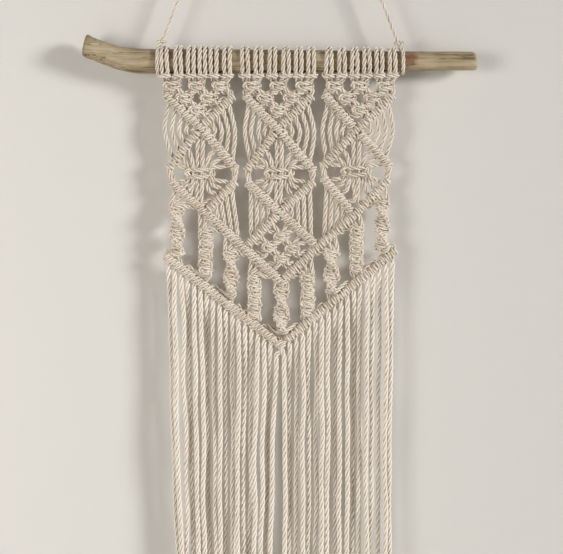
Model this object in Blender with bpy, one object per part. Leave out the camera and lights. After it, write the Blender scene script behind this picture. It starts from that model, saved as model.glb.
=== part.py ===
"""Knotted rope wall hanging: eighteen doubled cotton ropes tied on a bare branch.

The ropes hang in three panels of twelve cords. Each panel starts with lark's head knots on
the branch and a small triangle of square knots, then its cords are hitched along slanting
bars that close a diamond round one gathered knot. The bars run on into a V, nine sennits
hang from the V, a second V of hitches gathers them, and thirty-six cords fall below it.

Metres, +Z up. The origin is where the nail holds the hanging cord, and the front faces -Y.
"""

import math

import bmesh
import bpy
from mathutils import Matrix, Vector

# ------------------------------------------------------------------ driving dimensions

ROPE = 0.004  # diameter of the three-ply cotton rope
DRAWN_RADIUS = 0.0018  # of a cord drawn tight between two knots
PAIR_RADIUS = 0.0024  # of two such cords lying together
GAP = 0.0003  # clearance between pieces that touch

# hanging cord, the same rope pulled thin, and its two ties round the branch
HANGER_ROPE = 0.0033
HANGER_DROP = 0.3027  # from the nail down to the branch's axis
HANGER_BEND = 0.008  # bend radius of the cord over the nail
HANGER_BEND_STEPS = 6
HANGER_LEG_RUNS = 3  # straight runs in each leg
TIE_SPACE = 0.0008  # between each tie and the nearest lark's head
TIE_KNOT_IN = 0.0036  # each tie's knot sits this far inwards of it
TIE_KNOT_RADIUS = 0.0032
TAIL_LENGTH = 0.009  # cut end that stands out of each tie knot
TAIL_RADIUS = 0.00144
TAIL_WAY = (0.8, -0.2, 0.35)  # outwards, forwards and up

# branch
BRANCH_LENGTH = 0.375
BRANCH_RADIUS = 0.0108  # at mid length
BRANCH_TAPER = 0.0095  # radius lost per metre towards the right end
CROOK_START = -0.136  # left of this the branch bends up
CROOK_RISE = 0.0155  # how far the left end stands over the straight part
CROOK_BEND = 1.6  # power of the crook's curve
CROOK_THINNING = 0.12  # share of its radius lost at the left end
BRANCH_STEPS = 20

# panels: half widths and drops below the branch's axis
HEAD_PITCH = 0.0785  # between panels at the branch
FOOT_PITCH = 0.0708  # between panels at the foot of the diamonds
LARK_PITCH = 0.0122
LARK_WIDTH = 0.0094
RING_THICKNESS = 0.0038  # rope drawn tight round the branch
RING_SIDES = 10
KNOT_SIZE = (0.0125, 0.0068, 0.0080)  # one square knot of four cords
KNOT_ROWS = (0.0252, 0.0364, 0.0470)
PANEL_Y = 0.0  # the knotted panel hangs straight below the branch's axis
BAND = 0.0084  # thickness of a bar of hitches
START_SPACE = 0.0013  # between the outer knots of the first row and the bars' flat ends
START_TURN = 0.06  # share of a bar's first run that it takes to turn to its slope
START_OUT = 0.0078  # from the outer knots of the first row out to the bars' flat ends
CROSS_DROP = 0.0668
SIDE_HALF = 0.0318
SIDE_DROP = 0.1045
FOOT_DROP = 0.1465
HUNG_CORDS = 5  # free cords outside each side of a diamond
HUNG_SPARE = (0.6, 1.3)  # spaces left free above the first cord and below the last
STAR_SIZE = (0.0240, 0.0090, 0.0110)  # the gathered knot
STAR_DROP = 0.1080
STAR_CORDS = 4  # pairs of cords that fan out of it, up and down
STAR_FAN = 0.0165  # half width of the fan where it meets the bars
STAR_WAIST = 0.0086  # and where it enters the knot

# upper V and the four knots in the diamond over its bottom
V_DROP = 0.2115
CENTRE_SIDE = 0.0110  # from the middle to the knots beside it
CENTRE_STEP = 0.0096  # and to the knots above and below
CENTRE_CORDS = (0.0035, 0.0060)  # spread of the cords of the inner and the side knots

# sennits and lower V
SENNITS = 9
SENNIT_PITCH = 0.0246
SENNIT_SIZE = (0.0165, 0.0100, 0.0365)
SENNIT_TURN = math.radians(400)  # how far the twisted ones turn
SENNIT_LIFT = 0.0125  # from the lower V's axis up to each sennit
SENNIT_WAISTS = 5  # knots in the flat ones
WAIST = 0.14  # share of a flat one's width lost between its knots
SENNIT_CORDS = (-0.0085, 0.0085)  # outer cords, from its axis, where they meet the bars
SENNIT_NECK = 0.3  # share of that spread where they enter the column
LOWER_HALF = 0.1084
LOWER_DROP = 0.1870  # ends of the lower V
LOWER_FOOT = 0.2720  # its lowest point

# fringe
FRINGE_CORDS = 36
FRINGE_PITCH = 0.00615
FRINGE_LENGTH = 0.315  # from the pivot on the lower V to the cut end
HANG_EDGE = (-0.0070, 0.0036)  # inner edge of each half where the fringe hangs straight
HANG_PITCH = (0.00547, 0.00598)
HANG_DROP = 0.473  # below this the cords keep their place
FRINGE_POINTS = 5

COTTON = (0.80, 0.74, 0.65)
BARE_WOOD = (0.62, 0.50, 0.35)

# ------------------------------------------------------------------ scene and materials


def clear_scene():
    for obj in list(bpy.data.objects):
        bpy.data.objects.remove(obj, do_unlink=True)


def new_collection(name, parent):
    made = bpy.data.collections.new(name)
    parent.children.link(made)
    return made


def principled(name, colour, roughness):
    made = bpy.data.materials.new(name)
    made.use_nodes = True
    shader = made.node_tree.nodes["Principled BSDF"]
    shader.inputs["Base Color"].default_value = (*colour, 1)
    shader.inputs["Roughness"].default_value = roughness
    shader.inputs["Metallic"].default_value = 0
    return made


def cotton(name):
    return principled(name + "_cotton", COTTON, 0.9)


# ------------------------------------------------------------------ shapes


def place(x, drop, y=PANEL_Y):
    """A point given by its drop below the branch's axis."""
    return Vector((x, y, -HANGER_DROP - drop))


def tube(name, points, radius, resolution=2, radii=None):
    """A curve object: a round tube with closed ends along straight runs."""
    data = bpy.data.curves.new(name, "CURVE")
    data.dimensions = "3D"
    data.bevel_depth = radius
    data.bevel_resolution = resolution
    data.use_fill_caps = True
    spline = data.splines.new("POLY")
    spline.points.add(len(points) - 1)
    for i, point in enumerate(points):
        spline.points[i].co = (*point, 1)
        spline.points[i].radius = radii[i] / radius if radii else 1
    return bpy.data.objects.new(name, data)


def tube_mesh(points, radius, resolution=1):
    """The same tube as a welded mesh, ready to be joined."""
    curve = tube("route", points, radius, resolution)
    bpy.context.scene.collection.objects.link(curve)
    graph = bpy.context.evaluated_depsgraph_get()
    mesh = bpy.data.meshes.new_from_object(curve.evaluated_get(graph))
    weld = bmesh.new()
    weld.from_mesh(mesh)
    bmesh.ops.remove_doubles(weld, verts=weld.verts, dist=0.00001)
    weld.to_mesh(mesh)
    weld.free()
    bpy.data.objects.remove(curve)
    return mesh


def ellipsoid(centre, size, around=8, along=5):
    mesh = bpy.data.meshes.new("knot")
    shape = bmesh.new()
    bmesh.ops.create_uvsphere(shape, u_segments=around, v_segments=along, radius=0.5)
    spread = Matrix.Diagonal((*size, 1))
    bmesh.ops.transform(shape, matrix=Matrix.Translation(centre) @ spread, verts=shape.verts)
    shape.to_mesh(mesh)
    shape.free()
    return mesh


def ring(x, width, thickness=RING_THICKNESS):
    """Rope going once round the branch, clear of it all the way."""
    half = thickness / 2
    bpy.ops.mesh.primitive_torus_add(
        major_radius=ring_inside(x) + half,
        minor_radius=half,
        major_segments=RING_SIDES,
        minor_segments=5,
        location=(0, 0, 0),
        rotation=(0, 0, 0),
    )
    made = bpy.context.object
    mesh = made.data
    bpy.data.objects.remove(made)
    widen = Matrix.Diagonal((1, 1, width / thickness, 1))
    upright = Matrix.Rotation(math.pi / 2, 4, "Y")
    mesh.transform(Matrix.Translation(place(x, 0, 0)) @ upright @ widen)
    return mesh


def column(top, size, turn=0, waists=0, cuts=10):
    """An upright oval column that hangs from top; it may twist or be waisted."""
    width, depth, length = size
    mesh = bpy.data.meshes.new("column")
    shape = bmesh.new()
    bmesh.ops.create_cone(
        shape, cap_ends=True, segments=8, radius1=0.5, radius2=0.5, depth=length
    )
    for i in range(1, cuts):
        height = length * (i / cuts - 0.5)
        everything = shape.verts[:] + shape.edges[:] + shape.faces[:]
        bmesh.ops.bisect_plane(
            shape, geom=everything, plane_co=(0, 0, height), plane_no=(0, 0, 1)
        )
    for vert in shape.verts:
        along = vert.co.z / length + 0.5
        swell = 1 - WAIST * math.cos(2 * math.pi * waists * along) if waists else 1
        oval = Vector((vert.co.x * width * swell, vert.co.y * depth, vert.co.z))
        vert.co = Matrix.Rotation(turn * along, 3, "Z") @ oval
    bmesh.ops.translate(shape, verts=shape.verts, vec=top - Vector((0, 0, length / 2)))
    shape.to_mesh(mesh)
    shape.free()
    return mesh


# ------------------------------------------------------------------ the design's own lines


def branch_radius(x):
    return BRANCH_RADIUS - BRANCH_TAPER * x


def ring_inside(x):
    """Corner radius of a many-sided ring whose flats clear the branch."""
    return (branch_radius(x) + GAP) / math.cos(math.pi / RING_SIDES)


def tie_x(side):
    """Where a tie goes round the branch, just outside the last lark's head."""
    last = HEAD_PITCH + 2.5 * LARK_PITCH + LARK_WIDTH / 2
    return (-1, 1)[side] * (last + TIE_SPACE + ROPE / 2)


def tie_knot_centre(side):
    x = tie_x(side) - (-1, 1)[side] * TIE_KNOT_IN
    height = ring_inside(x) + RING_THICKNESS + TIE_KNOT_RADIUS + 2 * GAP
    return place(x, -height, 0)


def panel_x(panel, drop):
    """Centre line of panel -1, 0 or 1; the panels draw together on the way down."""
    head, foot = KNOT_ROWS[0], FOOT_DROP
    part = min(max((drop - head) / (foot - head), 0), 1)
    return panel * (HEAD_PITCH + (FOOT_PITCH - HEAD_PITCH) * part)


def between(a, b, part):
    return tuple(p + (q - p) * part for p, q in zip(a, b))


def drop_on(line, x):
    """Drop of a falling or rising line of (x, drop) points at x, held at its ends."""
    points = sorted(line)
    if x <= points[0][0]:
        return points[0][1]
    for (x0, d0), (x1, d1) in zip(points, points[1:]):
        if x <= x1:
            return d0 + (d1 - d0) * (x - x0) / (x1 - x0)
    return points[-1][1]


def stop_at(bar, x, start, radius=ROPE / 2):
    """Where a cord from start towards the bar's axis at x ends, its flat end just clear."""
    step = ROPE / 8
    target = Vector((x, drop_on(bar, x)))
    along = Vector((2 * step, drop_on(bar, x + step) - drop_on(bar, x - step))).normalized()
    run = (target - Vector(start)).normalized()
    cosine = abs(run.dot(along))
    sine = math.sqrt(1 - cosine**2)
    return target - run * ((BAND / 2 + 2 * GAP + radius * cosine) / sine)


def panel_points(panel):
    """The corners that a panel's bars go through, as (x, drop)."""
    cap = KNOT_ROWS[0] + KNOT_SIZE[2] / 2 + START_SPACE
    head, side = panel_x(panel, cap), panel_x(panel, SIDE_DROP)
    start_half = 2 * LARK_PITCH + START_OUT
    return {
        "start_left": (head - start_half, cap),
        "start_right": (head + start_half, cap),
        "cross": (panel_x(panel, CROSS_DROP), CROSS_DROP),
        "left": (side - SIDE_HALF, SIDE_DROP),
        "right": (side + SIDE_HALF, SIDE_DROP),
        "foot": (panel_x(panel, FOOT_DROP), FOOT_DROP),
    }


def upper_v():
    """The two bars of the upper V, each from its panel's outer corner to the bottom."""
    left, right = panel_points(-1), panel_points(1)
    return (
        [left["left"], left["foot"], (0, V_DROP)],
        [right["right"], right["foot"], (0, V_DROP)],
    )


def whole_v():
    left, right = upper_v()
    return [*left, *reversed(right[:-1])]


def lower_v():
    return [(-LOWER_HALF, LOWER_DROP), (0, LOWER_FOOT), (LOWER_HALF, LOWER_DROP)]


def shorten(points, amount):
    """The line with its last run cut back by amount."""
    end, before = Vector(points[-1]), Vector(points[-2])
    return [*points[:-1], tuple(end + (before - end).normalized() * amount)]


# ------------------------------------------------------------------ finished pieces


def finish(name, made, collection):
    made.name = name
    made.data.materials.append(cotton(name))
    collection.objects.link(made)
    return made


def join(name, meshes, collection, tools):
    """One solid from overlapping shapes: a Boolean union of the first with all the others."""
    made = finish(name, bpy.data.objects.new(name, meshes[0]), collection)
    others = new_collection(name + "_shapes", tools)
    for i, mesh in enumerate(meshes[1:], 1):
        shape = bpy.data.objects.new(f"{name}_shape_{i:02d}", mesh)
        shape.hide_render = True
        shape.display_type = "WIRE"
        others.objects.link(shape)
    union = made.modifiers.new("union", "BOOLEAN")
    union.operation = "UNION"
    union.solver = "EXACT"
    union.operand_type = "COLLECTION"
    union.collection = others
    return made


def branch(collection):
    """A bare stick, thicker to the left, with a crook that rises at its left end."""
    half = BRANCH_LENGTH / 2
    points, radii = [], []
    for i in range(BRANCH_STEPS + 1):
        x = -half + BRANCH_LENGTH * i / BRANCH_STEPS
        past = max((CROOK_START - x) / (half + CROOK_START), 0)
        points.append(place(x, -CROOK_RISE * past**CROOK_BEND, 0))
        radii.append(branch_radius(x) * (1 - CROOK_THINNING * past))
    made = tube("branch", points, BRANCH_RADIUS, 4, radii)
    made.data.materials.append(principled("bare_wood", BARE_WOOD, 0.75))
    collection.objects.link(made)


def hanger_route():
    """Straight legs from the two tie knots, and an arc over the nail between them."""
    centre = Vector((0, 0, HANGER_ROPE / 2 - HANGER_BEND))
    ends, angles = [], []
    for side in (0, 1):
        knot = tie_knot_centre(side)
        away = centre - knot
        lean = math.asin(HANGER_BEND / away.length)
        facing = math.atan2(-away.z, -away.x)
        turn = math.pi / 2 - lean
        angles.append(facing - turn if side == 0 else facing + turn)
        touch = centre + HANGER_BEND * Vector((math.cos(angles[-1]), 0, math.sin(angles[-1])))
        start = knot + (touch - knot).normalized() * (TIE_KNOT_RADIUS + 2 * GAP)
        runs = range(HANGER_LEG_RUNS)
        ends.append([start.lerp(touch, i / HANGER_LEG_RUNS) for i in runs])
    first, last = angles[0] % (2 * math.pi), angles[1] % (2 * math.pi)
    step = (last - first) / HANGER_BEND_STEPS
    arc = [first + step * i for i in range(HANGER_BEND_STEPS + 1)]
    bend = [centre + HANGER_BEND * Vector((math.cos(a), 0, math.sin(a))) for a in arc]
    return [*ends[0], *bend, *reversed(ends[1])]


def hanging_cord(collection):
    finish("hanging_cord", tube("hanging_cord", hanger_route(), HANGER_ROPE / 2), collection)


def hanger_tie(side):
    """A turn of rope round the branch, its knot on top, and the knot's cut end."""
    x = tie_x(side)
    knot = tie_knot_centre(side)
    top = place(x, -ring_inside(x) - ROPE / 2, 0)
    way = Vector(TAIL_WAY) * Vector((math.copysign(1, x), 1, 1))
    tail = knot + way.normalized() * TAIL_LENGTH
    return [
        ring(x, ROPE),
        ellipsoid(knot, [2 * TIE_KNOT_RADIUS] * 3),
        tube_mesh([top, knot], DRAWN_RADIUS),
        tube_mesh([knot, tail], TAIL_RADIUS),
    ]


def heading(panel):
    """Six lark's heads round the branch and a triangle of square knots below them."""
    centre = panel_x(panel, 0)
    larks = [centre + LARK_PITCH * (i - 2.5) for i in range(6)]
    shapes = [ring(x, LARK_WIDTH) for x in larks]
    half = LARK_PITCH / 2
    for row, drop in enumerate(KNOT_ROWS):
        count = len(KNOT_ROWS) - row
        for i in range(count):
            x = centre + 2 * LARK_PITCH * (i - (count - 1) / 2)
            shapes.append(ellipsoid(place(x, drop), KNOT_SIZE))
            above = branch_radius(x) + ROPE / 2 if row == 0 else KNOT_ROWS[row - 1]
            for side in (-1, 1):
                top = place(x + side * half, above)
                low = place(x + side * half * 0.5, drop)
                shapes.append(tube_mesh([top, low], PAIR_RADIUS))
    return shapes


def cord_to(bar, x, start):
    """A cord drawn tight between a knot and a bar."""
    end = stop_at(bar, x, start, DRAWN_RADIUS)
    return tube_mesh([place(*start), place(*end)], DRAWN_RADIUS)


def bar_mesh(line, resolution=2):
    return tube_mesh([place(x, drop) for x, drop in line], BAND / 2, resolution)


def start_bar(start, cross, corner):
    """A bar from its flat top end, turning straight down its slope, over the crossing."""
    turn = (start[0] + (cross[0] - start[0]) * START_TURN, start[1] + BAND / 2)
    return [start, turn, cross, corner]


def hung_cords(start, cross, corner):
    """The free cords outside a diamond, from the upper bar to the one below it."""
    spaces = HUNG_CORDS - 1 + sum(HUNG_SPARE)
    parts = [(i + HUNG_SPARE[0]) / spaces for i in range(HUNG_CORDS)]
    ends = [(between(start, cross, part), between(corner, cross, part)) for part in parts]
    return [tube_mesh([place(*top), place(*low)], ROPE / 2) for top, low in ends]


def lattice(panel):
    """The slanting bars of one panel, crossing above and below the open diamond."""
    at = panel_points(panel)
    upper = upper_v()
    left_low = [at["left"], at["foot"]]
    right_low = [at["right"], at["foot"]]
    clear = BAND / 2 + 3 * GAP
    if panel == -1:
        left_low = [*left_low, shorten(upper[0], -clear / 2)[-1]]
    elif panel == 1:
        right_low = shorten(upper[1], clear + GAP)
    else:
        ends = [drop_line_meet(upper[1], at["foot"], 1), drop_line_meet(upper[0], at["foot"], -1)]
        left_low = shorten([*left_low, ends[0]], clear + GAP)
        right_low = shorten([*right_low, ends[1]], clear + GAP)
    shapes = [
        bar_mesh(start_bar(at["start_left"], at["cross"], at["right"])),
        bar_mesh(start_bar(at["start_right"], at["cross"], at["left"])),
        bar_mesh(left_low),
        bar_mesh(right_low),
    ]
    shapes += hung_cords(at["start_left"], at["cross"], at["left"])
    shapes += hung_cords(at["start_right"], at["cross"], at["right"])
    return shapes


def drop_line_meet(bar, start, side):
    """Where a line that leaves start at the V's own slope meets one of its bars."""
    (x0, d0), (x1, d1) = bar[-2], bar[-1]
    slope = abs((d1 - d0) / (x1 - x0))
    x = side * (V_DROP - start[1]) / (2 * slope)
    return (x, start[1] + abs(x) * slope)


def star_knot(panel):
    """The gathered knot in a diamond, with its cords fanned out to the bars around it."""
    at = panel_points(panel)
    x = panel_x(panel, STAR_DROP)
    middle = (x, STAR_DROP)
    shapes = [ellipsoid(place(*middle), STAR_SIZE, 12, 6)]
    roof = [at["left"], at["cross"], at["right"]]
    floor = [at["left"], at["foot"], at["right"]]
    for i in range(STAR_CORDS):
        off = STAR_FAN * (2 * i / (STAR_CORDS - 1) - 1)
        inner = (x + off * STAR_WAIST / STAR_FAN, STAR_DROP)
        for edge in (roof, floor):
            shapes.append(cord_to(edge, x + off, inner))
    return shapes


def centre_knots():
    """Four square knots, one, two and one, in the diamond that the V closes."""
    top, low = panel_points(0)["foot"][1], V_DROP
    middle = (top + low) / 2
    side = CENTRE_SIDE
    places = [(0, middle - CENTRE_STEP), (-side, middle), (side, middle), (0, middle + CENTRE_STEP)]
    knots = [ellipsoid(place(*at), KNOT_SIZE) for at in places]
    links = []
    for end in (0, 3):
        for mid in (1, 2):
            links.append(tube_mesh([place(*places[end]), place(*places[mid])], PAIR_RADIUS))
    reach = 3 * side
    roof = [(-reach, top + reach), (0, top), (reach, top + reach)]
    floor = [(-reach, low - reach), (0, low), (reach, low - reach)]
    for x, drop in places:
        inner, outer = CENTRE_CORDS
        outs = (-inner, inner) if x == 0 else (math.copysign(outer, x),)
        for edge in (roof, floor):
            if x == 0 and (edge is roof) == (drop > middle):
                continue
            links += [cord_to(edge, x + out, (x + out / 2, drop)) for out in outs]
    return knots + links


def lower_band(collection):
    made = tube("lower_band", [place(*at) for at in lower_v()], BAND / 2)
    finish("lower_band", made, collection)


def sennit(number):
    """One knotted column between the two Vs; every other one is twisted."""
    x = SENNIT_PITCH * (number - (SENNITS + 1) / 2)
    roof, floor = whole_v(), lower_v()
    low = drop_on(floor, x) - SENNIT_LIFT
    top = low - SENNIT_SIZE[2]
    twisted = number % 2 == 1
    shape = {"turn": SENNIT_TURN} if twisted else {"waists": SENNIT_WAISTS}
    shapes = [column(place(x, top), SENNIT_SIZE, **shape)]
    limit = abs(roof[0][0]) - BAND / 2
    for off in SENNIT_CORDS:
        inner = x + off * SENNIT_NECK
        up_x = min(max(x + off, -limit), limit)
        shapes.append(cord_to(roof, up_x, (inner, top + ROPE)))
        shapes.append(cord_to(floor, x + off, (inner, low - ROPE)))
    return shapes


def fringe_route(number):
    """From under the lower V the cord falls, drifting to its place in the hanging fringe."""
    side = 0 if number <= FRINGE_CORDS // 2 else 1
    step = FRINGE_CORDS // 2 - number if side == 0 else number - FRINGE_CORDS // 2 - 1
    sign = (-1, 1)[side]
    start_x = sign * FRINGE_PITCH * (step + 0.5)
    hang_x = HANG_EDGE[side] + sign * HANG_PITCH[side] * step
    pivot = drop_on(lower_v(), start_x)
    start = stop_at(lower_v(), start_x, (start_x, pivot + FRINGE_LENGTH)).y
    points = []
    for i in range(FRINGE_POINTS):
        drop = start + (pivot + FRINGE_LENGTH - start) * i / (FRINGE_POINTS - 1)
        part = min((drop - start) / (HANG_DROP - start), 1)
        points.append(place(start_x + (hang_x - start_x) * part, drop))
    return points


def fringe(collection):
    for number in range(1, FRINGE_CORDS + 1):
        name = f"fringe_{number:02d}"
        finish(name, tube(name, fringe_route(number), ROPE / 2), collection)


def build():
    clear_scene()
    hanging = new_collection("wall_hanging", bpy.context.scene.collection)
    tools = new_collection("shapes_to_join", bpy.context.scene.collection)
    knotted = {"hanger_tie_left": hanger_tie(0), "hanger_tie_right": hanger_tie(1)}
    for panel, side in ((-1, "left"), (0, "middle"), (1, "right")):
        knotted[f"heading_{side}"] = heading(panel)
        knotted[f"lattice_{side}"] = lattice(panel)
        knotted[f"star_knot_{side}"] = star_knot(panel)
    knotted["centre_knots"] = centre_knots()
    for number in range(1, SENNITS + 1):
        knotted[f"sennit_{number}"] = sennit(number)
    branch(hanging)
    hanging_cord(hanging)
    lower_band(hanging)
    fringe(hanging)
    for name, shapes in knotted.items():
        join(name, shapes, hanging, tools)


build()
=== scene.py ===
"""Looks of the knotted rope wall hanging: every rope follows its real path through the knots."""

import math
import random

import bpy
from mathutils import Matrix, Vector, noise


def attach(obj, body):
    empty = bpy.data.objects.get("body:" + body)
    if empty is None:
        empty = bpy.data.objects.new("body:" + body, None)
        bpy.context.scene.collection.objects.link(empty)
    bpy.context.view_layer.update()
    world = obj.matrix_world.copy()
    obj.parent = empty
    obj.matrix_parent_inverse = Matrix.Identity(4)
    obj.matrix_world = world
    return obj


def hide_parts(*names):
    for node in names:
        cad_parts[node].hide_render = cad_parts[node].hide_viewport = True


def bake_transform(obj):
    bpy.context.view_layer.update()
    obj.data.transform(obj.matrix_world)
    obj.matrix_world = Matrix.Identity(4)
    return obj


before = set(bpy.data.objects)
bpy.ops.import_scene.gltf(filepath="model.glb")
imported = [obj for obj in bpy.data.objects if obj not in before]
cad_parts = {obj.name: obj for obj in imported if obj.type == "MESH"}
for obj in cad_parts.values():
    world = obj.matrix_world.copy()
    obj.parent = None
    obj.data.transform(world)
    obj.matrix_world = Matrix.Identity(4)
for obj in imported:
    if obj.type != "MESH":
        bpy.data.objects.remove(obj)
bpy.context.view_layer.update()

# Paths are worked out in millimetres, X to the right, Y to the back and Z up, with the branch's
# axis at Z = 0. A place on the panel is given as (across, drop).

MM = 0.001
AXIS_DROP = 302.7  # from the nail to the branch's axis

# rope
ROPE_RADIUS = 2.1
FRINGE_RADIUS = 2.45  # the loose cords of the fringe open up a little
DRAWN_RADIUS = 2.2  # the knotted cords, a little loosened by the handling
HANGER_RADIUS = 1.6
LAY = 21.0  # length in which a strand goes once round
RING_SPACING = 1.05
STRAND_SIDES = 8
STRAND_OUT = 0.54  # a strand's middle and its radius, as shares of the rope's radius
STRAND_SHARE = 0.46
SMOOTH_STEP = 0.9
SMOOTH_LEAST = 0.25  # points nearer to the last one than this are passed over
HANGER_SMOOTH_STEP = 1.5

# how far a place strays from the drawn one, since hands tied it
HITCH_STRAY = 0.12
KNOT_STRAY = 0.2
SENNIT_STRAY = 0.5
STRAND_STRAY = 0.7
STRAND_DEPTH_STRAY = 0.8
LARK_STRAY = 0.9

# branch
BRANCH_HALF = 187.5
BRANCH_RADIUS = 10.8
BRANCH_TAPER = 0.0095
BRANCH_RINGS = 150
BRANCH_SIDES = 44
END_ROUND = 1.2  # length of each rounded end, and how far it is rounded in
END_IN = 0.9
END_SLANTS = (-0.25, 0.12)  # left and right saw cuts
END_SLANT_SHARE = 0.04  # of half the branch
BARK_IN = 0.25  # how far the bare wood lies inside the radius on average
BARK_ROUGH = 1.1
# each layer of roughness: size, how fast it changes along and round the branch, and its seed
BARK = ((0.35, 0.02, 1.4, 0), (0.16, 0.062, 4.34, 5), (0.12, 0.05, 6, 0))
SIDE_KNOT = Vector((125.5, -9.6, 1.5))  # from the axis
SIDE_KNOT_RADIUS = 5.5
SIDE_KNOT_RISE = 0.9
CROOK_START = -136.0
CROOK_RISE = 15.5
CROOK_BEND = 1.6
CROOK_THINNING = 0.12

# lark's heads
LARKS = (
    (-110.3, -97.2, -85.3, -74.3, -63.6, -50.9),
    (-33.4, -20.9, -7.9, 5.4, 17.4, 29.3),
    (46.3, 58.8, 70.8, 82.6, 94.5, 107.1),
)
LARK_UNDER = 4.3  # from the middle to each leg: under the branch, over it and in front of it
LARK_TOP = 2.1
LARK_LEG = 2.7
LARK_CLOSING = 1.8  # how soon the legs close in behind, and from which part on they open in front
LARK_OPENING = 0.55
LARK_BAR_DROP = 15.7
LARK_SINK = 0.5  # how far the loops press into the wood
# the loop in front: across, back and height over the bar
LARK_LOOP = ((0, -8.6, 0.3), (2.6, -8.5, 0), (4.6, -6.6, 0.4))
LARK_TURN = (4.7, -2.6, 0.4)  # across, back and depth under the branch
LARK_END = (2.2, -4.0, 0.6)  # across, back and depth under the bar
LARK_ARC = (200, 495, 21)  # degrees round the branch: from, to, step
PANEL_CORDS = 12  # two from each lark's head

# knots of four cords
KNOT_HALF = 7.5
KNOT_FRONT = 3.4
HEAD_HALF_KNOT = 5.2
HALF_KNOT = 4.3
HEAD_ROWS = (24.4, 36.0, 47.4)
FILLER_SPACE = 1.9
CENTRE_KNOT_HALF = 6.1
CENTRE_HALF_KNOT = 4.8

# bars of double half hitches
WRAP = 2.65  # radius of a hitch's turns
WRAP_TURNS = 2.22
WRAP_POINTS = 8  # for each turn
WRAP_SLANT = 0.09
WRAP_REACH = 0.7  # the turns keep within this share of the pitch
HITCH_IN = (-0.3, 2.4, 6.2)  # share of the pitch along the bar, back and height
HITCH_OUT = (0.25, 1.2, -5.6)
FILLER_END = 0.98  # where the cord inside a bar ends, as a share of the bar

# start left, start right, cross, upper corners, lower corners, star knot
DIAMONDS = (
    ((-111.5, 31.5), (-45.5, 33.5), (-76.1, 63.8), (-107.5, 103.5), (-42.0, 104.5),
     (-105.5, 115.5), (-43.0, 116.0), (-77.1, 108.4)),
    ((-34.0, 32.5), (30.5, 33.5), (-2.2, 65.6), (-32.5, 105.5), (32.5, 106.0),
     (-31.8, 116.5), (32.0, 116.0), (-1.2, 108.4)),
    ((42.0, 31.6), (108.0, 33.0), (73.2, 66.6), (40.0, 101.5), (105.5, 101.5),
     (41.0, 111.5), (104.0, 113.5), (72.7, 106.5)),
)
FEET = ((-71.6, 145.5), (-0.3, 145.2), (70.6, 148.0))
MEETS = ((-34.3, 179.8), (36.0, 178.6))  # where the middle panel's bars reach the upper V
V_FOOT = (0.9, 212.0)

STAR_HALF = 13.6
STAR_FRONT = 4.4
STAR_HALF_KNOT = 6.6
STAR_CORNER = (18.0, 6.5)  # where the tying cords turn out of the knot, across and in height
STAR_FILLERS = 4.4  # between the fillers, side by side
STAR_FILLER_RUN = 13.86  # the fillers' straight length, and how far they take turns in depth
STAR_FILLER_BACK = 0.7
STAR_FAN = ((2.7, 28.0), (9.2, 17.0), (13.7, 11.0))  # across and height, from the middle outwards
CROSS_EXIT = (3.0, 9.5, 3.0)  # where the inner strands leave the crossing: across, drop and back

# free cords between two bars bow outwards: at least, nearness, softening, and share of the span
BOW = (0.8, 12.0, 4.0, 0.055)
BOW_AT = 0.42

CENTRE_KNOTS = (
    ((17, 18, 19, 20), (0.9, 169.3)),
    ((15, 16, 17, 18), (-10.6, 179.4)),
    ((19, 20, 21, 22), (11.4, 180.6)),
    ((17, 18, 19, 20), (0.9, 189.9)),
)

# sennits: across, top, bottom, twisted or flat
SENNITS = (
    (-99.2, 138.5, 185.5, True),
    (-71.7, 161.5, 205.5, False),
    (-47.3, 181.5, 225.0, True),
    (-25.0, 204.5, 248.5, False),
    (1.2, 218.0, 261.0, True),
    (26.1, 203.5, 246.0, False),
    (49.2, 181.5, 222.5, True),
    (73.2, 158.5, 203.0, False),
    (97.6, 133.5, 180.0, True),
)
SENNIT_HALF = 6.6
FLAT_HALF = 5.3
SENNIT_FRONT = 3.0
SENNIT_TURN = math.radians(33)

# lower V and fringe
LOWER_STARTS = ((-110.8, 187.0), (109.0, 183.0))
LOWER_FOOT = (0.0, 272.5)
LOWER_FILLER_END = 0.97
FRINGE_CORDS = 36
FRINGE_PITCH = 6.15
FRINGE_HITCH = FRINGE_PITCH * 0.66
FRINGE_LENGTH = 315.0
FRINGE_SPARE = 3  # no point of the line comes nearer to the end than this
FRINGE_START = 9  # from the bar to the line's first free point, and between the points
FRINGE_STEP = 14
FRINGE_BEND = 16  # how far below the point pivot the point bent is put
POINTS_PAST_BAR = 3  # how many of a cord's knotted points belong to its fringe
HANG_EDGE = (-8.8, 3.6)
HANG_PITCH = (5.36, 5.98)
HANG_DROP = 473.0
HANG_SWAY = 0.8  # how far the fringe cords stray sideways and in depth
HANG_DEPTH = 3.6
HANG_BACK = 0.5
HANG_SETTLE = 45  # from the bar to where they have strayed in full
WAVE = (1.8, 60)  # each cord's slow wave, sideways and in depth: its size, and the drop it grows in
DEPTH_WAVE = (2.2, 80)
WAVE_RATE = 0.018
WAVE_SEED = 3.7
DEPTH_SEED = 9
SWAY_PHASE = 2.4  # from one cord to the next, so that neighbours differ
DEPTH_PHASE = 1.9
DEPTH_FIRST_PHASE = 0.6

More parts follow.
